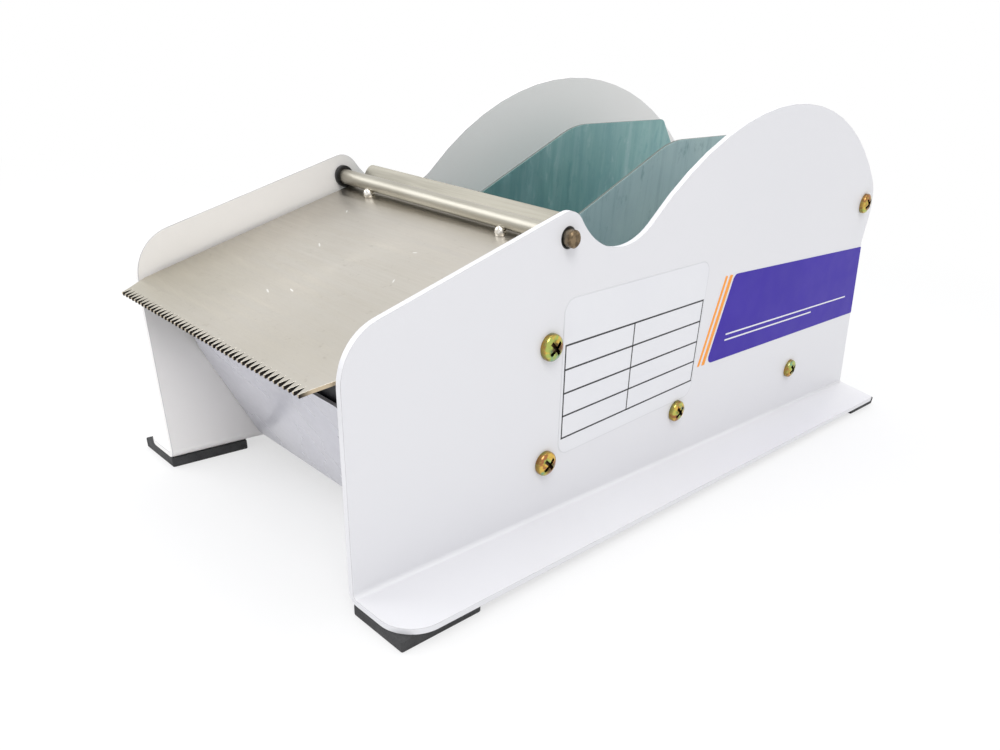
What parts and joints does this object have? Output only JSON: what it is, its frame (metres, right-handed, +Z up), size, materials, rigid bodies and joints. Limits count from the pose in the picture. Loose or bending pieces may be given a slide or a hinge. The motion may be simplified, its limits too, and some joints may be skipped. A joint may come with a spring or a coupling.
{
  "type": "gummed tape dispenser",
  "caption": "Desktop dispenser for gummed paper tape: folded steel frame, hinged serrated cutter plate, water tank with brush, rollers for the roll and sliding tape guides.",
  "frame": {"origin": "centre of the bounding box at the level of the foot pads' undersides", "axes": "+X towards the right side panel, +Y from the serrated edge to the rear, +Z up"},
  "size_m": [0.145, 0.3, 0.1245],
  "materials": {
    "white_paint": "smooth white powder coat, semi-gloss",
    "tank_plastic": "black moulded plastic",
    "brush_plastic": "dark moulded plastic",
    "bristle": "pale nylon bristle",
    "stainless_sheet": "fine brushed stainless sheet",
    "stainless_rod": "drawn stainless bar",
    "bush_rubber": "black rubber, slightly glossy",
    "bright_zinc": "bright zinc plated steel",
    "roller_plastic": "natural nylon tube",
    "blue_zinc": "blue-green zinc plated sheet with streaks",
    "hub_plastic": "natural nylon",
    "yellow_zinc": "yellow passivated zinc, iridescent",
    "pad_rubber": "matt black rubber sheet"
  },
  "bodies": {
    "frame": {"left_side_panel": "white_paint", "right_side_panel": "white_paint", "front_trough": "white_paint", "water_tank": "tank_plastic", "brush_back": "brush_plastic", "brush_bristles": "bristle", "left_hinge_bush": "bush_rubber", "right_hinge_bush": "bush_rubber", "front_tie_rod": "bright_zinc", "rear_tie_rod": "bright_zinc", "upper_tie_rod": "bright_zinc", "left_panel_screws": "yellow_zinc", "right_panel_screws": "yellow_zinc", "trough_nuts": "bright_zinc", "front_left_pad": "pad_rubber", "front_right_pad": "pad_rubber", "rear_left_pad": "pad_rubber", "rear_right_pad": "pad_rubber"},
    "cutter": {"cutter_plate": "stainless_sheet", "hinge_rod": "stainless_rod", "tack_welds": "stainless_rod"},
    "front_roller": {"front_roller": "roller_plastic"},
    "rear_roller": {"rear_roller": "roller_plastic"},
    "left_guide": {"left_tape_guide": "blue_zinc", "left_guide_hubs": "hub_plastic"},
    "right_guide": {"right_tape_guide": "blue_zinc", "right_guide_hubs": "hub_plastic"}
  },
  "joints": [
    {"name": "cutter_hinge", "type": "hinge", "parent": "frame", "child": "cutter", "pos_m": [0, -0.075, 0.0877], "axis": [-1, 0, 0], "range_deg": [0, 100]},
    {"name": "front_roller_spin", "type": "hinge", "parent": "frame", "child": "front_roller", "pos_m": [0, -0.0075, 0.025], "axis": [1, 0, 0], "continuous": true},
    {"name": "rear_roller_spin", "type": "hinge", "parent": "frame", "child": "rear_roller", "pos_m": [0, 0.081, 0.025], "axis": [1, 0, 0], "continuous": true},
    {"name": "left_guide_slide", "type": "slide", "parent": "frame", "child": "left_guide", "axis": [-1, 0, 0], "range_m": [-0.0085, 0.024]},
    {"name": "right_guide_slide", "type": "slide", "parent": "frame", "child": "right_guide", "axis": [1, 0, 0], "range_m": [-0.0085, 0.024]}
  ]
}
